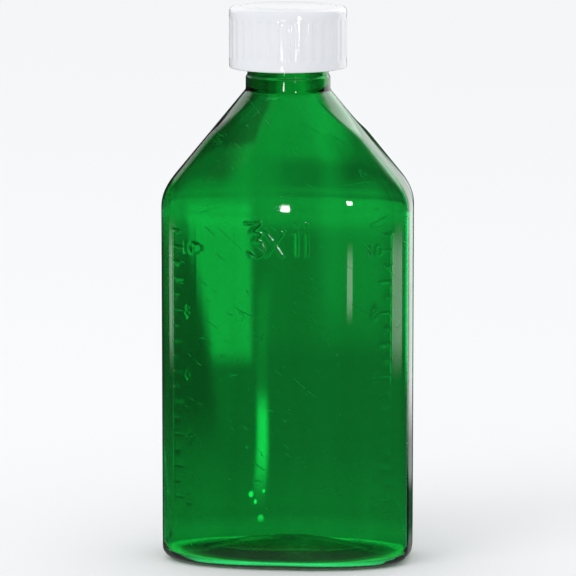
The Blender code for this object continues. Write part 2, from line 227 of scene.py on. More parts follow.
# The profile is rows of half width, height, half depth and roundness. It runs from the gate mark in
# the middle of the base, outside, up to the mouth and back down inside.
profile = [(0.4, 3.9, 0.4, 1.0), (1.6, 3.95, 1.6, 1.0), (2.0, 4.5, 1.8, 1.0)]
for share in np.linspace(0.12, 1, 12):
    profile.append((25.1 * share, 1.6 + 3.0 * (1 - share**2), 15.6 * share, 1.0))
profile.append((push_up_half_width, push_up_lip_z, push_up_half_depth, 0.9))
profile.append((half_width - foot_inset, 0.0, half_depth - foot_inset, 0.3))
profile += [heel(turn, heel_radius, 0.0, 0.0) for turn in np.linspace(0, math.pi / 2, 12)]
profile += [shoulder(z, 0.0) for z in np.linspace(shoulder_start_z, neck_root_z, 60)]
for radius, z in (
    (neck_radius, neck_root_z + 0.3),
    (neck_radius, finish_step_z),
    (finish_radius, finish_step_z + 0.4),
    (finish_radius, mouth_z - mouth_edge),
    (finish_radius - mouth_edge, mouth_z + 0.08),
    (bore_radius + mouth_edge, mouth_z + 0.08),
    (bore_radius, mouth_z - 0.4),
    (bore_radius, finish_step_z),
    (bore_radius + 0.6, neck_root_z + 0.8),
):
    profile.append((radius, z, radius, 1.0))
profile += [shoulder(z, wall) for z in np.linspace(neck_root_z - 1.0, shoulder_start_z, 60)]
inner_heel = heel_radius - wall
for turn in np.linspace(math.pi / 2, 0, 12):
    profile.append(heel(turn, inner_heel, base_thickness, wall))
push_up_inside_z = push_up_lip_z + base_thickness
profile.append((push_up_half_width, push_up_inside_z, push_up_half_depth, 0.9))
for share in np.linspace(0.9, 0.03, 12):
    z = push_up_inside_z + 3.8 * (1 - share**2)
    profile.append((push_up_half_width * share, z, push_up_half_depth * share, 1.0))
profile, lengths = soften(profile, 0.3)

floor_row = int(np.argmin(profile[:, 1]))
mouth_row = int(np.argmax(profile[:, 1]))
inner_heel_row = mouth_row + int(np.argmin(profile[mouth_row : int(len(profile) * 0.95), 1]))


def outside(z):
    """Length along the profile where the outside reaches height z."""
    return np.interp(z, profile[floor_row:mouth_row, 1], lengths[floor_row:mouth_row])


def inside(z):
    """Length along the profile where the inside comes down to height z."""
    heights = profile[mouth_row:inner_heel_row, 1][::-1]
    return np.interp(z, heights, lengths[mouth_row:inner_heel_row][::-1])


def front_arc(x):
    """Distance round the body to the point of the front at x."""
    place = np.interp(-abs(x), -quarter_x, quarter_arcs)
    return 3 * quarter_arc + math.copysign(quarter_arc - place, x)


# The ounce sign and the Roman twelve, as strokes about the middle of the front.
sign_z = 102.0
sign_height = 0.46
sign_reach = 0.58
sign_strokes = [
    [(-10.1, 5.3), (-6.0, 5.3), (-8.9, 2.6), (-5.9, 1.9), (-8.0, -0.2), (-5.9, -0.5), (-4.9, -2.0)],
    [(-4.9, -2.0), (-5.2, -3.9), (-6.9, -4.9), (-8.6, -4.7), (-9.4, -3.7)],
    [(-3.9, 2.4), (0.9, -4.6)],
    [(0.7, 2.4), (-4.1, -4.6)],
    [(5.2, 2.6), (5.2, -4.3)],
    [(8.3, 2.6), (8.3, -4.3)],
    [(5.2, 4.9), (5.2, 5.2)],
    [(8.3, 4.9), (8.3, 5.2)],
]

# The two scales count fluid ounces up the edges of the front, with a short mark at each half.
scale_x = 33.4
scale_height = 0.15
scale_reach = 0.42
numeral_x = 28.4
numeral_step = 2.5
ounce_z = 1.9
ounce_height = 9.7
scale_top_z = 104.0
numeral_width = 1.8
numeral_height = 3.0
numerals = {
    "1": [[(0.5, 0.0), (0.5, 1.0)]],
    "0": [[(0.3, 0), (0, 0.3), (0, 0.7), (0.3, 1), (0.7, 1), (1, 0.7), (1, 0.3), (0.7, 0), (0.3, 0)]],
    "2": [[(0.0, 0.8), (0.2, 1.0), (0.8, 1.0), (1.0, 0.75), (0.0, 0.0), (1.0, 0.0)]],
    "4": [[(0.75, 0.0), (0.75, 1.0), (0.0, 0.3), (1.0, 0.3)]],
    "6": [[(0.9, 1), (0.3, 0.85), (0, 0.3), (0.3, 0), (0.8, 0), (1, 0.3), (0.7, 0.55), (0.1, 0.45)]],
    "8": [
        [(0.5, 0.55), (0.1, 0.75), (0.3, 1.0), (0.7, 1.0), (0.9, 0.75), (0.5, 0.55)],
        [(0.5, 0.55), (0.0, 0.25), (0.3, 0.0), (0.7, 0.0), (1.0, 0.25), (0.5, 0.55)],
    ],
}
scale_strokes = [[(side * scale_x, 20.0), (side * scale_x, scale_top_z)] for side in (-1, 1)]
scale_rows = []
for half_ounces in range(4, 22):
    z = ounce_z + ounce_height * half_ounces / 2
    length = 3.2 if half_ounces % 2 == 0 else 1.8
    scale_rows.append((outside(z - 0.5), outside(z + 0.5), 0.24))
    for side in (-1, 1):
        scale_strokes.append([(side * scale_x, z), (side * (scale_x - length), z)])
    if half_ounces % 4 == 0:
        text = str(half_ounces // 2)
        scale_rows.append((outside(z - 1.9), outside(z + 1.9), 0.3))
        for side in (-1, 1):
            for number, digit in enumerate(text):
                middle = side * numeral_x + numeral_step * (number - (len(text) - 1) / 2)
                for stroke in numerals[digit]:
                    scale_strokes.append(
                        [
                            (middle + numeral_width * (a - 0.5), z + numeral_height * (b - 0.5))
                            for a, b in stroke
                        ]
                    )

# Rows and columns of points lie closer together where there is relief or a tight bend.
row_places = graded(
    0.0,
    lengths[-1],
    4.0,
    scale_rows
    + [
        (0.0, 3.0, 0.5),
        (3.0, outside(mouth_z), 2.4),
        (24.0, outside(4.5), 0.45),
        (outside(sign_z - 5.9), outside(sign_z + 6.3), 0.32),
        (outside(109.0), outside(121.0), 0.8),
        (outside(121.0), outside(143.0), 1.5),
        (outside(143.0), outside(147.0), 0.4),
        (outside(149.2), outside(150.6), 0.16),
        (outside(156.5), outside(164.0), 0.34),
        (outside(164.5), inside(164.3), 0.16),
        (inside(148.0), inside(144.0), 0.5),
        (inside(144.0), inside(108.0), 2.0),
        (inside(4.0), inside(4.0) + 7.0, 0.6),
    ],
)
column_zones = [
    (3 * quarter_arc - 10.9, 3 * quarter_arc + 9.2, 0.36),
    (front_arc(-scale_x - 0.6), front_arc(-26.2), 0.38),
    (front_arc(26.2), front_arc(scale_x + 0.6), 0.38),
    (quarter_arc - 3.0, quarter_arc + 3.0, 0.6),
]
for middle in (0, 2 * quarter_arc, 4 * quarter_arc):
    column_zones.append((middle - 0.35, middle + 0.35, 0.12))
    for side in (-1, 1):
        crease = middle + side * side_panel_half
        column_zones.append((crease - 2.5, crease + 2.5, 0.6))
        column_zones.append((crease - 9.0, crease + 9.0, 1.4))
arcs = graded(0.0, 4 * quarter_arc, 2.7, column_zones)[:-1]

rows = np.column_stack([np.interp(row_places, lengths, column) for column in profile.T])
ring_x = []
ring_y = []
for wide, z, deep, roundness in rows:
    x, y = section(arcs, wide, deep, roundness)
    ring_x.append(x)
    ring_y.append(y)
ring_x = np.array(ring_x)
ring_y = np.array(ring_y)
ring_z = np.repeat(rows[:, 1:2], len(arcs), axis=1)
run_x = np.roll(ring_x, -1, axis=1) - np.roll(ring_x, 1, axis=1)
run_y = np.roll(ring_y, -1, axis=1) - np.roll(ring_y, 1, axis=1)
run = np.hypot(run_x, run_y)
is_outside = (row_places < lengths[mouth_row])[:, None] & (row_places > outside(2.0))[:, None]
is_front = ring_y < 0
round_arcs = np.tile(arcs, (len(rows), 1))

# Everything that stands out from the plain body or sinks into it, along the outward normal.
relief = sign_height * raised(ring_x, ring_z - sign_z, sign_strokes, sign_reach) * is_front
relief += scale_height * raised(ring_x, ring_z, scale_strokes, scale_reach) * is_front
seam_height = 0.07
seam_half_width = 0.3
seam_away = np.minimum(round_arcs % (2 * quarter_arc), -round_arcs % (2 * quarter_arc))
relief += seam_height * eased(1 - seam_away / seam_half_width) * (ring_z < neck_root_z)
notch_depth = 0.25
notch = np.hypot(ring_x / 2.2, (ring_z - 5.2) / 0.8)
relief -= notch_depth * eased(1.3 - notch) * ~is_front
angle = np.arctan2(ring_y, ring_x) % (2 * np.pi)
thread = thread_share(angle, ring_z, thread_low_z, 0.0, thread_foot_half, thread_crest_half)
relief += thread_height * thread
relief *= is_outside

# Blown walls are never quite even, so both faces wander by a few hundredths of a millimetre.
body_share = eased((ring_z - 4.0) / 12) * eased((144.0 - ring_z) / 12)
flow = 0.016 * np.sin(round_arcs / 5.3 + ring_z / 31)
flow += 0.010 * np.sin(round_arcs / 2.7 - ring_z / 43)
inner_flow = 0.02 * np.sin(round_arcs / 4.1 - ring_z / 37)
inner_flow += 0.015 * np.sin(round_arcs / 9.3 + ring_z / 11)
relief += body_share * np.where(is_outside, flow, inner_flow)
ring_x += relief * run_y / run
ring_y -= relief * run_x / run
bottle = ring_piece("bottle_shell", np.stack((ring_x, ring_y, ring_z), axis=-1))


class Wire:
    """An output of a shader node. Arithmetic on it adds Math nodes, and node() adds any other node."""

    def __init__(self, tree, socket=None):
        self.tree = tree
        self.socket = socket

    def node(self, kind, settings, values, output=0):
        """Adds a node, makes its settings, then gives its sockets their values or links."""
        made = self.tree.nodes.new(kind)
        for name, value in settings.items():
            setattr(made, name, value)
        for name, value in values.items():
            if isinstance(value, Wire):
                self.tree.links.new(value.socket, made.inputs[name])
            else:
                made.inputs[name].default_value = value
        return Wire(self.tree, made.outputs[output] if made.outputs else None)

    def maths(self, operation, *values):
        return self.node("ShaderNodeMath", {"operation": operation}, dict(enumerate(values)))

    def clamped(self):
        return self.node("ShaderNodeClamp", {}, {"Value": self})

    def between(self, low, high):
        """0 below low and 1 above high, with a soft rise in between."""
        settings = {"interpolation_type": "SMOOTHSTEP"}
        return self.node("ShaderNodeMapRange", settings, {"Value": self, 1: low, 2: high})

    def band(self, start, full, fall, end):
        """Rises from start to full, stays at 1, and goes back down from fall to end."""
        return self.between(start, full) * (1 - self.between(fall, end))

    def mix(self, first, second):
        """A colour that goes from first to second as this value goes from 0 to 1."""
        colours = {0: self, 6: first, 7: second}
        return self.node("ShaderNodeMix", {"data_type": "RGBA"}, colours, 2)

    def __add__(self, other):
        return self.maths("ADD", self, other)

    def __sub__(self, other):
        return self.maths("SUBTRACT", self, other)

    def __rsub__(self, other):
        return self.maths("SUBTRACT", other, self)

    def __mul__(self, other):
        return self.maths("MULTIPLY", self, other)

    def __truediv__(self, other):
        return self.maths("DIVIDE", self, other)

    __radd__ = __add__
    __rmul__ = __mul__


def new_material(name):
    """An empty material, and a wire with nothing on it to start its nodes from."""
    material = bpy.data.materials.new(name)
    material.use_nodes = True
    material.node_tree.nodes.clear()
    return material, Wire(material.node_tree)


def cells(wires, size, turn=(0.0, 0.0, 0.0)):
    """Places on the piece, counted in cells of this size in millimetres, turned about X, Y and Z."""
    place = wires.node("ShaderNodeTexCoord", {}, {}, "Object")
    size = [side * 0.001 for side in size]
    values = {"Vector": place, "Scale": size, "Rotation": turn}
    return wires.node("ShaderNodeMapping", {"vector_type": "TEXTURE"}, values)


def noise(wires, size, detail=2.0):
    vector = cells(wires, size)
    return wires.node("ShaderNodeTexNoise", {}, {"Vector": vector, "Scale": 1.0, "Detail": detail})


def scratches(wires, size, turn, width):
    """Long fine lines: the borders of cells that are drawn out in one direction."""
    values = {"Vector": cells(wires, size, turn), "Scale": 1.0}
    edge = wires.node("ShaderNodeTexVoronoi", {"feature": "DISTANCE_TO_EDGE"}, values)
    return 1 - edge.between(0.0, width)


def specks(wires, apart, radius):
    """Small dots of this radius, about so far apart, both in millimetres."""
    values = {"Vector": cells(wires, (apart, apart, apart)), "Scale": 1.0}
    distance = wires.node("ShaderNodeTexVoronoi", {}, values)
    return 1 - distance.between(radius / apart * 0.4, radius / apart)


green_pet, wires = new_material("green_pet")
flow_streaks = noise(wires, (10.0, 10.0, 140.0), 3.0)
green = flow_streaks.between(0.3, 0.7).mix((0.070, 0.66, 0.235, 1.0), (0.095, 0.72, 0.27, 1.0))
worn = noise(wires, (26.0, 26.0, 33.0)).between(0.54, 0.64)
broken = noise(wires, (8.0, 8.0, 5.0)).between(0.56, 0.64)
scuffs = scratches(wires, (4.5, 30.0, 40.0), (0.0, 1.35, 0.0), 0.012) * worn
scuffs = scuffs + scratches(wires, (8.0, 30.0, 46.0), (0.0, -0.9, 0.0), 0.008) * (1 - worn)
scuffs = scuffs * broken
dust = specks(wires, 5.2, 0.22) + specks(wires, 2.3, 0.14) * worn
peel = noise(wires, (7.0, 7.0, 7.0))
height = peel * 0.000006 + dust * 0.00005 - scuffs * 0.00001
bump = wires.node("ShaderNodeBump", {}, {"Strength": 1.0, "Distance": 1.0, "Height": height})
surface = wires.node(
    "ShaderNodeBsdfPrincipled",
    {},
    {
        "Base Color": green,
        "Roughness": (0.03 + scuffs * 0.3 + dust * 0.3).clamped(),
        "IOR": 1.575,
        "Transmission Weight": 1.0,
        "Normal": bump,
    },
)
dye = wires.node(
    "ShaderNodeVolumeAbsorption", {}, {"Color": (0.0, 0.79, 0.56, 1.0), "Density": 680.0}
)
wires.node("ShaderNodeOutputMaterial", {}, {"Surface": surface, "Volume": dye})
bottle.data.materials.append(green_pet)

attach(bottle, "bottle")
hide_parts("bottle")

# ---------------------------------------------------------------------------------------------
# Liner. A disc of white polyethylene foam between two skins, punched from sheet and pressed into
# the inner cap's ceiling, where friction holds it. The bottle's lip leaves its ring in it.
# ---------------------------------------------------------------------------------------------

liner_low, liner_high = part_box("liner")
liner_radius = liner_high.x * 1000
liner_bottom_z = liner_low.z * 1000
liner_top_z = liner_high.z * 1000


def circles(profile_rows, columns):
    """Rings of points turned about Z from (radius, z) rows, with the angle of each point."""
    turn = np.arange(columns) * 2 * np.pi / columns
    radius = np.repeat(profile_rows[:, 0:1], columns, axis=1)
    z = np.repeat(profile_rows[:, 1:2], columns, axis=1)
    return radius, z, np.tile(turn, (len(profile_rows), 1))


def turned_piece(name, radius, z, turn):
    """A closed piece from rings given as radius, height and angle."""
    return ring_piece(name, np.stack((radius * np.cos(turn), radius * np.sin(turn), z), axis=-1))


liner_profile, liner_lengths = soften(
    [
        (0.3, liner_bottom_z),
        (10.9, liner_bottom_z),
        (11.2, liner_bottom_z + 0.06),
        (12.1, liner_bottom_z + 0.06),
        (12.4, liner_bottom_z),
        (liner_radius, liner_bottom_z),
        (liner_radius, liner_top_z),
        (0.3, liner_top_z),
    ],
    0.12,
)
liner_places = graded(0.0, liner_lengths[-1], 1.6, [(10.4, liner_radius + 2.0, 0.14)])
liner_rows = np.column_stack([np.interp(liner_places, liner_lengths, c) for c in liner_profile.T])
liner = turned_piece("liner_disc", *circles(liner_rows, 96))

liner_foam, wires = new_material("liner_foam")
foam = noise(wires, (0.4, 0.4, 0.4), 4.0)
cream = foam.between(0.35, 0.7).mix((0.80, 0.79, 0.74, 1.0), (0.88, 0.87, 0.83, 1.0))
bump = wires.node("ShaderNodeBump", {}, {"Strength": 0.6, "Distance": 0.00004, "Height": foam})
surface = wires.node(
    "ShaderNodeBsdfPrincipled",
    {},
    {"Base Color": cream, "Roughness": 0.62 + foam * 0.2, "IOR": 1.45, "Normal": bump},
)
wires.node("ShaderNodeOutputMaterial", {}, {"Surface": surface})
liner.data.materials.append(liner_foam)

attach(liner, "liner")
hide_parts("liner")

# ---------------------------------------------------------------------------------------------
# Inner cap. The shell that seals the bottle, injection moulded in uncoloured polypropylene, with
# the screw thread inside and a ring of ratchet lugs on its top. It is snapped into the outer cap.
# ---------------------------------------------------------------------------------------------

inner_low, inner_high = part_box("inner_cap")
inner_bottom_z = inner_low.z * 1000
inner_radius = inner_high.x * 1000
lug_height = 1.0
inner_top_z = inner_high.z * 1000 - lug_height
inner_ceiling_z = inner_top_z - 1.2
inner_thread_root = 13.9
inner_thread_height = 1.05
inner_thread_foot_half = 0.8
inner_thread_crest_half = 0.4
inner_thread_drop = 1.5
inner_thread_rise = 1.4
lug_count = 12
lug_low_radius = 10.4
lug_high_radius = 13.4
lug_foot = 10.0
lug_crest = 5.0


def lug_share(turn, radius, turned_by, sign):
    """How far, from 0 to 1, the ring of lugs stands up at this angle and radius."""
    pitch = 360.0 / lug_count
    past = (sign * (np.degrees(turn) - turned_by) + lug_foot / 2) % pitch
    upright = np.clip(past / 0.6, 0, 1)
    ramp = np.clip((lug_foot - past) / (lug_foot - lug_crest), 0, 1)
    width = np.clip((radius - lug_low_radius) / 0.2, 0, 1)
    width *= np.clip((lug_high_radius - radius) / 0.2, 0, 1)
    return np.minimum(upright, ramp) * width


inner_profile, inner_lengths = soften(
    [
        (0.3, inner_ceiling_z),
        (inner_thread_root, inner_ceiling_z),
        (inner_thread_root, inner_bottom_z + 0.3),
        (inner_thread_root + 0.3, inner_bottom_z),
        (inner_radius - 0.3, inner_bottom_z),
        (inner_radius, inner_bottom_z + 0.3),
        (inner_radius - 0.2, inner_top_z - 0.6),
        (inner_radius - 0.8, inner_top_z),
        (0.3, inner_top_z),
    ],
    0.12,
)
inner_inside = inner_thread_root
inner_lip = inner_inside + inner_ceiling_z - inner_bottom_z
inner_shoulder = inner_lip + inner_top_z - inner_bottom_z
inner_places = graded(
    0.0,
    inner_lengths[-1],
    1.6,
    [
        (inner_inside - 0.8, inner_inside + 1.0, 0.2),
        (inner_inside + 3.0, inner_lip, 0.3),
        (inner_lip - 0.5, inner_lip + 2.0, 0.16),
        (inner_shoulder - 1.0, inner_shoulder + 2.2, 0.2),
        (inner_lengths[-1] - 13.9, inner_lengths[-1] - 9.9, 0.2),
    ],
)
inner_rows = np.column_stack([np.interp(inner_places, inner_lengths, c) for c in inner_profile.T])
radius, z, turn = circles(inner_rows, 300)
past_lip = (inner_places > inner_lip + 1.0)[:, None]
on_wall = (radius > inner_thread_root - 0.2) & ~past_lip
inner_thread_low_z = thread_low_z - inner_thread_drop
ridge = thread_share(
    turn,
    z,
    inner_thread_low_z,
    (inner_bottom_z + inner_thread_rise - inner_thread_low_z) / thread_pitch,
    inner_thread_foot_half,
    inner_thread_crest_half,
)
radius = radius - inner_thread_height * ridge * on_wall
on_top = past_lip & (z > inner_top_z - 0.3)
z = z + lug_height * lug_share(turn, radius, 0.0, 1) * on_top
inner_cap = turned_piece("inner_cap_shell", radius, z, turn)


def moulded_plastic(name, light, dark, roughness, grain):
    """Matt moulded polypropylene: a faint cloudiness, a spark-eroded grain and a few rubbed spots."""
    material, wires = new_material(name)
    cloud = noise(wires, (14.0, 14.0, 11.0), 3.0)
    fine = noise(wires, (0.26, 0.26, 0.26))
    rubbed = noise(wires, (4.8, 4.8, 7.0), 4.0).between(0.55, 0.75)
    marks = scratches(wires, (2.0, 2.0, 16.0), (0.3, 0.9, 0.0), 0.03) * rubbed
    dust = specks(wires, 2.4, 0.12)
    colour = (cloud.between(0.3, 0.75) * 0.6 + dust * 0.5).clamped().mix((*light, 1.0), (*dark, 1.0))
    height = fine * 0.000006 * grain - marks * 0.00001 + dust * 0.000012
    bump = wires.node("ShaderNodeBump", {}, {"Strength": 1.0, "Distance": 1.0, "Height": height})
    surface = wires.node(
        "ShaderNodeBsdfPrincipled",
        {},
        {
            "Base Color": colour,
            "Roughness": (roughness + fine * 0.08 - rubbed * 0.05 + marks * 0.15).clamped(),
            "IOR": 1.49,
            "Normal": bump,
        },
    )
    wires.node("ShaderNodeOutputMaterial", {}, {"Surface": surface})
    return material


inner_cap_plastic = moulded_plastic(
    "inner_cap_plastic", (0.74, 0.75, 0.72), (0.64, 0.65, 0.61), 0.34, 1.0
)
inner_cap.data.materials.append(inner_cap_plastic)

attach(inner_cap, "inner_cap")
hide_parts("inner_cap")

# ---------------------------------------------------------------------------------------------
# Spring disc. A polypropylene ring with six leaves that slope down to the inner cap. The leaves
# hold the two caps apart until the outer one is pushed, and flatten as it comes down.
# ---------------------------------------------------------------------------------------------

spring_low, spring_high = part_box("spring_disc")
spring_tip_z = spring_low.z * 1000
spring_top_z = spring_high.z * 1000
spring_radius = spring_high.x * 1000
spring_bore = 4.0
spring_thickness = 0.6
leaf_thickness = 0.5
leaf_angle = math.radians(44)
leaf_low_radius = spring_radius - 2.2
leaf_high_radius = spring_radius - 0.2


def rounded_loop(low_a, high_a, low_b, high_b, radius):
    """The corners of a rectangle, each rounded with three points, going round once."""
    corners = ((high_a, low_b, -90), (high_a, high_b, 0), (low_a, high_b, 90), (low_a, low_b, 180))
    made = []
    for a, b, start in corners:
        middle_a = a - math.copysign(radius, a - (low_a + high_a) / 2)
        middle_b = b - math.copysign(radius, b - (low_b + high_b) / 2)
        for step in (0, 45, 90):
            turn = math.radians(start + step)
            made.append((middle_a + radius * math.cos(turn), middle_b + radius * math.sin(turn)))
    return made


spring_points = []
spring_faces = []


def sweep(loops, closed):
    """Joins loops of points with quads. A closed sweep meets itself, and an open one gets two ends."""
    start = len(spring_points)
    size = len(loops[0])
    for loop in loops:
        spring_points.extend(loop)
    for row in range(len(loops) if closed else len(loops) - 1):
        near = start + row * size
        far = start + (row + 1) % len(loops) * size
        for i in range(size):
            following = (i + 1) % size
            spring_faces.append((near + i, near + following, far + following, far + i))
    if not closed:
        spring_faces.append(tuple(range(start + size - 1, start - 1, -1)))
        spring_faces.append(tuple(range(len(spring_points) - size, len(spring_points))))


def arc_points(loop, turn):
    return [(r * math.cos(turn) * 0.001, r * math.sin(turn) * 0.001, z * 0.001) for r, z in loop]


ring_low_z = spring_top_z - spring_thickness
ring_loop = rounded_loop(spring_bore, spring_radius, ring_low_z, spring_top_z, 0.15)[::-1]
sweep([arc_points(ring_loop, math.radians(3 * i)) for i in range(120)], True)
for leaf in range(6):
    loops = []
    for step in range(25):
        share = step / 24
        low_z = spring_top_z - leaf_thickness - 0.05
        low_z += (spring_tip_z - low_z) * eased(share)
        narrowing = 0.35 * max(0.0, share - 0.85) / 0.15
        leaf_loop = rounded_loop(
            leaf_low_radius + narrowing,
            leaf_high_radius - narrowing,
            low_z,
            low_z + leaf_thickness,
            0.12,
        )
        loops.append(arc_points(leaf_loop[::-1], math.radians(60 * leaf) + leaf_angle * share))
    sweep(loops, False)
spring_mesh = bpy.data.meshes.new("spring_leaves")
spring_mesh.from_pydata(spring_points, [], spring_faces)
spring_mesh.shade_smooth()
spring_mesh.set_sharp_from_angle(angle=math.radians(50))
spring = bpy.data.objects.new("spring_leaves", spring_mesh)
bpy.context.scene.collection.objects.link(spring)
spring_plastic = moulded_plastic(
    "spring_plastic", (0.70, 0.72, 0.72), (0.60, 0.62, 0.60), 0.28, 0.6
)
spring_mesh.materials.append(spring_plastic)

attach(spring, "spring")
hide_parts("spring_disc")
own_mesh(spring)

# ---------------------------------------------------------------------------------------------
# Outer cap. The fluted white shell that the hand grips, injection moulded in polypropylene. A
# bead near its rim snaps under the inner cap, and lugs under its top catch the inner cap's lugs
# when it is pushed down. Arrows round its top show which way it opens.
# ---------------------------------------------------------------------------------------------

outer_low, outer_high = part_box("outer_cap")
cap_radius = outer_high.x * 1000
cap_bottom_z = outer_low.z * 1000
cap_top_z = outer_high.z * 1000
cap_ceiling_z = cap_top_z - 1.3
cap_inside_radius = 16.2
bead_radius = 14.75
bead_high_z = inner_bottom_z - 0.2
rib_count = 32
rib_depth = 0.2
rib_low_z = cap_bottom_z + 2.9
rib_high_z = cap_top_z - 3.4
mark_height = 0.25
mark_ring_radius = 14.4
mark_ring_half = 0.4
arrow_radius = 11.4
arrow_starts = (30.0, 210.0)
arrow_half = 0.55
arrow_neck = 62
arrow_tip = 86
arrow_head_half = 1.9
top_z = cap_top_z - mark_height

cap_profile, cap_lengths = soften(
    [
        (0.3, cap_ceiling_z),
        (cap_inside_radius - 0.2, cap_ceiling_z),
        (cap_inside_radius, bead_high_z),
        (bead_radius + 0.2, bead_high_z),
        (bead_radius, bead_high_z - 0.2),
        (bead_radius, cap_bottom_z + 0.5),
        (cap_inside_radius, cap_bottom_z),
        (cap_radius - 0.3, cap_bottom_z),
        (cap_radius, cap_bottom_z + 0.3),
        (cap_radius, cap_top_z - 1.5),
        (cap_radius - 0.25, cap_top_z - 0.75),
        (cap_radius - 0.95, cap_top_z - 0.25),
        (cap_radius - 1.8, top_z),
        (0.3, top_z),
    ],
    0.14,
)
cap_rim = cap_inside_radius + cap_ceiling_z - bead_high_z
cap_top_edge = cap_lengths[-1] - (cap_radius - 1.8)
cap_places = graded(
    0.0,
    cap_lengths[-1],
    1.2,
    [
        (9.9, 13.9, 0.22),
        (cap_rim - 1.0, cap_rim + 5.6, 0.16),
        (cap_rim + 5.6, cap_top_edge - 2.4, 0.55),
        (cap_top_edge - 2.6, cap_top_edge + 0.8, 0.14),
        (cap_top_edge + 0.8, cap_top_edge + 7.6, 0.22),
    ],
)
cap_rows = np.column_stack([np.interp(cap_places, cap_lengths, c) for c in cap_profile.T])
radius, z, turn = circles(cap_rows, 384)
past_rim = (cap_places > cap_rim + 4.6)[:, None]
rib_phase = np.cos(rib_count * (turn - math.pi / rib_count))
flute = eased(0.5 - 0.75 * rib_phase)
in_ribs = eased((z - rib_low_z + 0.35) / 0.7) * eased((rib_high_z + 0.35 - z) / 0.7)
radius = radius - rib_depth * flute * in_ribs * past_rim * (radius > cap_radius - 0.2)

# The raised ring and the two curved arrows, which point the way the cap turns off.
on_top = past_rim & (z > top_z - 0.05)
mark = 0.5 + 0.5 * np.cos(np.pi * np.minimum(1, np.abs(radius - mark_ring_radius) / mark_ring_half))
for start in arrow_starts:
    swept = (np.degrees(turn) - start) % 360
    head = np.clip((arrow_tip - swept) / (arrow_tip - arrow_neck), 0, 1) * arrow_head_half
    half_band = np.where(swept < arrow_neck, arrow_half, head)
    edge = eased((half_band - np.abs(radius - arrow_radius)) / 0.3 + 0.5)
    mark = np.maximum(mark, edge * (swept < arrow_tip) * eased(swept / 2))
z = z + mark_height * mark * on_top
on_ceiling = (cap_places < cap_inside_radius - 0.5)[:, None]
z = z - lug_height * lug_share(turn, radius, 15.0, -1) * on_ceiling
outer_cap = turned_piece("outer_cap_shell", radius, z, turn)

white_cap_plastic = moulded_plastic(
    "white_cap_plastic", (0.80, 0.81, 0.83), (0.76, 0.77, 0.79), 0.06, 0.25
)
outer_cap.data.materials.append(white_cap_plastic)

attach(outer_cap, "outer_cap")
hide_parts("outer_cap")

# ---------------------------------------------------------------------------------------------
# Studio. A pale floor under an even pale sky, one large soft lamp, and two glowing cards round the
# bottle: one that only clear plastic shows, and one that only gloss shows. The glow of the cards is
# painted light: it paints the highlights, reflections and shade seen in the bottle and cap.
# ---------------------------------------------------------------------------------------------

scene = bpy.context.scene
scene.view_settings.view_transform = "Standard"

world = bpy.data.worlds.new("studio")
scene.world = world
world.use_nodes = True
sky = world.node_tree.nodes["Background"]
sky.inputs["Color"].default_value = (0.97, 0.98, 1.0, 1.0)
sky.inputs["Strength"].default_value = 1.0

floor_radius = 6.0
floor_corners = 60
floor_points = []
for i in range(floor_corners):
    turn = math.radians(360 / floor_corners * i)
    floor_points.append((floor_radius * math.cos(turn), floor_radius * math.sin(turn), -0.0002))
floor_mesh = bpy.data.meshes.new("floor")
floor_mesh.from_pydata(floor_points, [], [tuple(range(floor_corners))])
floor = bpy.data.objects.new("floor", floor_mesh)
scene.collection.objects.link(floor)
floor_paint, wires = new_material("floor_paint")
surface = wires.node("ShaderNodeBsdfDiffuse", {}, {"Color": (0.92, 0.92, 0.92, 1.0)})
wires.node("ShaderNodeOutputMaterial", {}, {"Surface": surface})
floor_mesh.materials.append(floor_paint)


def card(name, profile_rows, columns):
    """A bowl or dome of glowing card round the bottle, which lamps, the camera and matt surfaces miss.
    Its glow is painted light, seen only in gloss and through clear plastic.
    """
    radius, z, turn = circles(np.array(profile_rows, float), columns)
    points = np.stack((radius * np.cos(turn), radius * np.sin(turn), z), axis=-1) * 0.001
    corner = np.arange(radius.size).reshape(radius.shape)
    following = np.roll(corner, -1, axis=1)
    quads = np.stack((corner[:-1], following[:-1], following[1:], corner[1:]), axis=-1)
    mesh = bpy.data.meshes.new(name)
    mesh.from_pydata(points.reshape(-1, 3).tolist(), [], quads.reshape(-1, 4).tolist())
    made = bpy.data.objects.new(name, mesh)
    scene.collection.objects.link(made)
    made.visible_camera = False
    made.visible_diffuse = False
    made.visible_shadow = False
    material, wires = new_material(name)
    material.cycles.emission_sampling = "NONE"
    mesh.materials.append(material)
    place = cells(wires, (1.0, 1.0, 1.0))
    axes = [wires.node("ShaderNodeSeparateXYZ", {}, {"Vector": place}, axis) for axis in "XYZ"]
    return made, wires, axes


def lit(wires, level):
    """Gives the card a glow of this strength."""
    glow = wires.node("ShaderNodeEmission", {}, {"Color": (1.0, 1.0, 1.0, 1.0), "Strength": level})
    wires.node("ShaderNodeOutputMaterial", {}, {"Surface": glow})


# The bowl is what shows through the clear plastic, and its glow is painted light and shade for the
# bottle's body. The lines of sight of the main view meet it at a place that leans with them, so the
# bright and dark fields on it are laid out along that lean.
bowl_columns = 72
bowl, wires, (card_x, card_y, card_z) = card(
    "bowl_card", [(1, -0.1), (41, -0.1), (190, -0.1), (212, 8), (220, 30), (220, 340)], bowl_columns
)
bowl.visible_glossy = False
across = card_x + card_y * 0.11
up = card_z + card_y * 0.158
lean = across + (up - 98.0) * 0.167
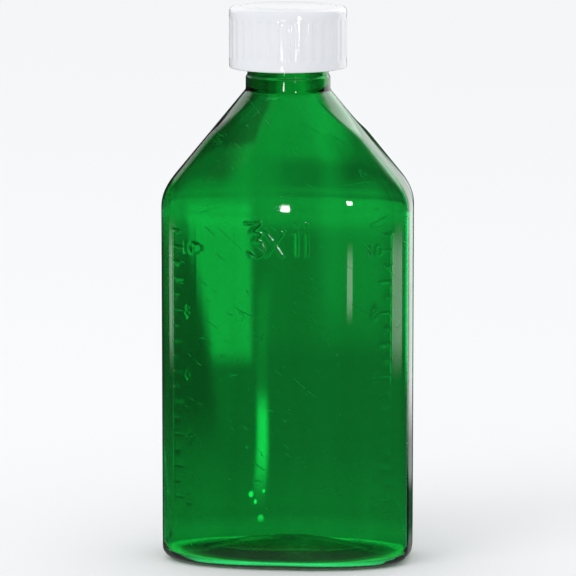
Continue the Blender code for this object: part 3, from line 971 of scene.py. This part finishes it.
# Painted light in the body: brighter above the middle, a bright panel at the left, a brighter right
# half, a brighter shoulder with painted shade across its bend, a brighter foot and a bright far right
# edge. Painted shade darkens the left side.
upper = up.between(56.0, 70.0)
panel = lean.between(-38.0, -33.0) * (1 - across.between(-14.5, -10.5))
panel = panel * up.band(53.0, 62.0, 106.0, 122.0)
right_field = across.band(4.0, 18.0, 30.0, 44.0) * up.between(56.0, 90.0)
shoulder_bend_shade = up.band(117.0, 123.0, 128.0, 134.0) * across.between(-16.0, 8.0)
shoulder_field = up.between(100.0, 114.0) - shoulder_bend_shade
low_field = 1 - up.between(6.0, 30.0)
far_right = across.between(58.0, 84.0) * up.between(40.0, 60.0)
left_side_shade = (1 - lean.between(-39.0, -33.0)) * up.band(20.0, 45.0, 90.0, 104.0)

# Painted highlight: a tall bright line left of the middle, strong below and faint above, seen as a
# streak in the bottle.
line = (across - up * 0.04).band(-14.1, -11.3, -9.7, -6.9) * up.band(10.0, 28.0, 78.0, 90.0)
line = line * (1 - up.between(36.0, 50.0) * 0.9)

level = 0.31 + upper * 0.08 + panel * 0.66 + right_field * 0.22 + shoulder_field * 0.36
level = level + low_field * 0.12 + line * 1.6 + far_right * 1.3
level = level * (1 - left_side_shade * 0.62)
# Painted shade on the sides of the shoulder and on the left of the neck.
shoulder_side_shade = (across * across).between(14.0**2, 27.0**2) * up.between(118.0, 128.0)
neck_left_shade = (1 - across.between(-13.0, -8.0)) * up.between(134.0, 139.0)
level = level * (1 - shoulder_side_shade * 0.6) * (1 - neck_left_shade * 0.6)

# Painted glints: four small bright dots near the foot of the line, seen as sparkles low in the bottle.
for dot_x, dot_z, dot_size in (
    (-9.0, 8.2, 1.3),
    (-13.0, 14.5, 1.0),
    (-11.2, 12.6, 0.7),
    (-8.4, 15.4, 0.6),
):
    from_x = across - dot_x
    from_z = up - dot_z
    away = from_x * from_x + from_z * from_z
    level = level + (1 - away.between(0.1 * dot_size**2, dot_size**2)) * 2.5

# In front the card glows from 0.5 at the left to 0.75 at the right. Under the bottle it is dark below
# the push-up of the base, a painted shadow, and bright round it, with a painted highlight ring under
# the heel.
behind = card_y.between(10.0, 60.0)
level = level * behind + (card_x.between(-150.0, 150.0) * 0.25 + 0.5) * (1 - behind)
from_middle = card_x * card_x + card_y * card_y
under = 1 - from_middle.between(40.0**2, 66.0**2)
push_up = card_x * card_x / 29.0**2 + card_y * card_y / 18.0**2
heel_highlight_ring = card_x * card_x / 36.0**2 + card_y * card_y / 22.0**2
below = 0.05 + push_up.between(0.75, 1.4) * 0.5 + heel_highlight_ring.band(0.80, 0.95, 1.05, 1.3) * 1.3
lit(wires, level * (1 - under) + below * under)

# The dome is what gloss shows, and its glow is painted reflection: dark card all round, a pale board
# behind at the right and one above, a slim strip at each side, a faint pale patch low round the
# bottle's foot, and in front a slot, a small spot and a faint tall glint below it.
dome_columns = 72
dome, wires, (card_x, card_y, card_z) = card(
    "dome_card",
    [(1, -0.1), (41, -0.1), (205, -0.1), (220, 6), (220, 260), (180, 350), (100, 400), (2, 415)],
    dome_columns,
)
dome.visible_transmission = False
right_board = card_x.between(48.0, 60.0) * card_y.between(95.0, 135.0) * card_z.between(-12.0, 16.0)
top_board = card_y.between(60.0, 120.0) * card_z.between(172.0, 196.0)
side_strips = (card_x * card_x).between(217.0**2, 218.4**2) * card_z.band(24.0, 44.0, 66.0, 82.0)
front = 1 - card_y.between(-190.0, -180.0)
# Painted highlights: the slot paints the narrow streak on the cap and the glints on the neck, the spot
# a small sparkle on the right of the shoulder bend, and the glint a faint pale line on the right of the
# body.
slot = card_x.band(-22.0, -20.0, -15.0, -13.0) * front * card_z.band(108.0, 120.0, 130.0, 144.0)
spot_column = card_x.band(92.0, 95.0, 106.0, 109.0) * front
spot = spot_column * card_z.band(143.0, 147.0, 157.0, 161.0)
glint = spot_column * card_z.band(44.0, 54.0, 64.0, 74.0)
near = 1 - (card_x * card_x + card_y * card_y).between(42.0**2, 66.0**2)
near = near * (1 - card_z.between(0.0, 20.0))
level = 0.035 + right_board * 1.2 + slot * 40.0 + spot * 34.0 + glint * 3.0
lit(wires, level + near * 0.22 + top_board * 1.1 + side_strips * 2.2)

softbox = bpy.data.lights.new("main_softbox", "AREA")
softbox.size = 0.9
softbox.energy = 5.0
softbox_place = Vector((-0.9, -1.1, 1.3))
softbox_aim = Vector((0.0, 0.0, 0.08))
softbox_stand = bpy.data.objects.new("main_softbox", softbox)
softbox_stand.location = softbox_place
softbox_stand.rotation_euler = (softbox_aim - softbox_place).to_track_quat("-Z", "Y").to_euler()
softbox_stand.visible_glossy = False
scene.collection.objects.link(softbox_stand)

camera_turn = math.radians(6.3)
camera_rise = math.radians(9.0)
camera_distance = 1.4
field_of_view = math.radians(7.25)
camera_aim = Vector((0.0, 0.0, 0.084))
camera_away = Vector(
    (
        math.sin(camera_turn) * math.cos(camera_rise),
        -math.cos(camera_turn) * math.cos(camera_rise),
        math.sin(camera_rise),
    )
)
lens = bpy.data.cameras.new("camera")
lens.sensor_width = 36.0
lens.lens = lens.sensor_width / 2 / math.tan(field_of_view / 2)
lens.clip_start = 0.01
camera = bpy.data.objects.new("camera", lens)
camera.location = camera_aim + camera_away * camera_distance
camera.rotation_euler = (-camera_away).to_track_quat("-Z", "Y").to_euler()
scene.collection.objects.link(camera)
scene.camera = camera

bpy.context.view_layer.update()
